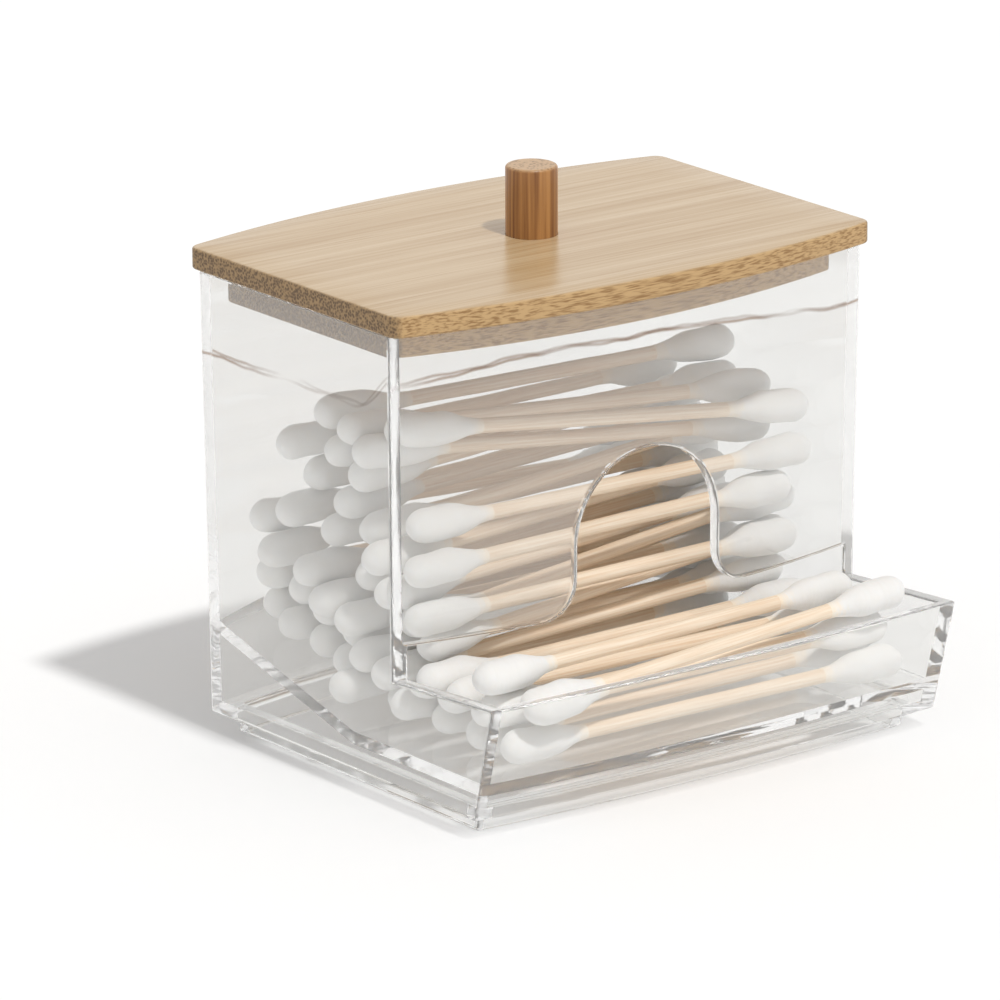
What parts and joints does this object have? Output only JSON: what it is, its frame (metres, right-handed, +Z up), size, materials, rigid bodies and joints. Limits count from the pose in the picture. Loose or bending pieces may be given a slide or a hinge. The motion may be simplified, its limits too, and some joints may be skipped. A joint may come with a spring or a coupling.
{
  "type": "cotton swab holder",
  "caption": "Clear bowed box with a curved chute, a notched front wall and a flared tray that feeds out cotton swabs, under a lift-off bamboo lid with a dowel knob.",
  "frame": {"origin": "middle of the footprint, on the table under the foot ring", "axes": "+X to the right of someone facing the tray, -Y to the front where the tray is, +Z up"},
  "size_m": [0.0908, 0.0815, 0.0874],
  "materials": {
    "clear_plastic": "polished",
    "bamboo_board": "satin varnish",
    "bamboo_dowel": "satin varnish",
    "cotton_swab": "matt"
  },
  "bodies": {
    "holder": {"box": "clear_plastic", "swab_01": "cotton_swab", "swab_02": "cotton_swab", "swab_03": "cotton_swab", "swab_04": "cotton_swab", "swab_05": "cotton_swab", "swab_06": "cotton_swab", "swab_07": "cotton_swab", "swab_08": "cotton_swab", "swab_09": "cotton_swab", "swab_10": "cotton_swab", "swab_11": "cotton_swab", "swab_12": "cotton_swab", "swab_13": "cotton_swab", "swab_14": "cotton_swab", "swab_15": "cotton_swab", "swab_16": "cotton_swab", "swab_17": "cotton_swab", "swab_18": "cotton_swab", "swab_19": "cotton_swab", "swab_20": "cotton_swab", "swab_21": "cotton_swab", "swab_22": "cotton_swab", "swab_23": "cotton_swab", "swab_24": "cotton_swab", "swab_25": "cotton_swab", "swab_26": "cotton_swab", "swab_27": "cotton_swab", "swab_28": "cotton_swab", "swab_29": "cotton_swab", "swab_30": "cotton_swab", "swab_31": "cotton_swab", "swab_32": "cotton_swab", "swab_33": "cotton_swab", "swab_34": "cotton_swab", "swab_35": "cotton_swab", "swab_36": "cotton_swab", "swab_37": "cotton_swab", "swab_38": "cotton_swab", "swab_39": "cotton_swab", "swab_40": "cotton_swab", "swab_41": "cotton_swab", "swab_42": "cotton_swab", "swab_43": "cotton_swab", "swab_44": "cotton_swab", "swab_45": "cotton_swab", "swab_46": "cotton_swab"},
    "lid": {"lid": "bamboo_board", "knob": "bamboo_dowel"}
  },
  "joints": [
    {"name": "lid_lift", "type": "slide", "parent": "holder", "child": "lid", "axis": [0, 0, 1], "range_m": [0, 0.04]}
  ]
}
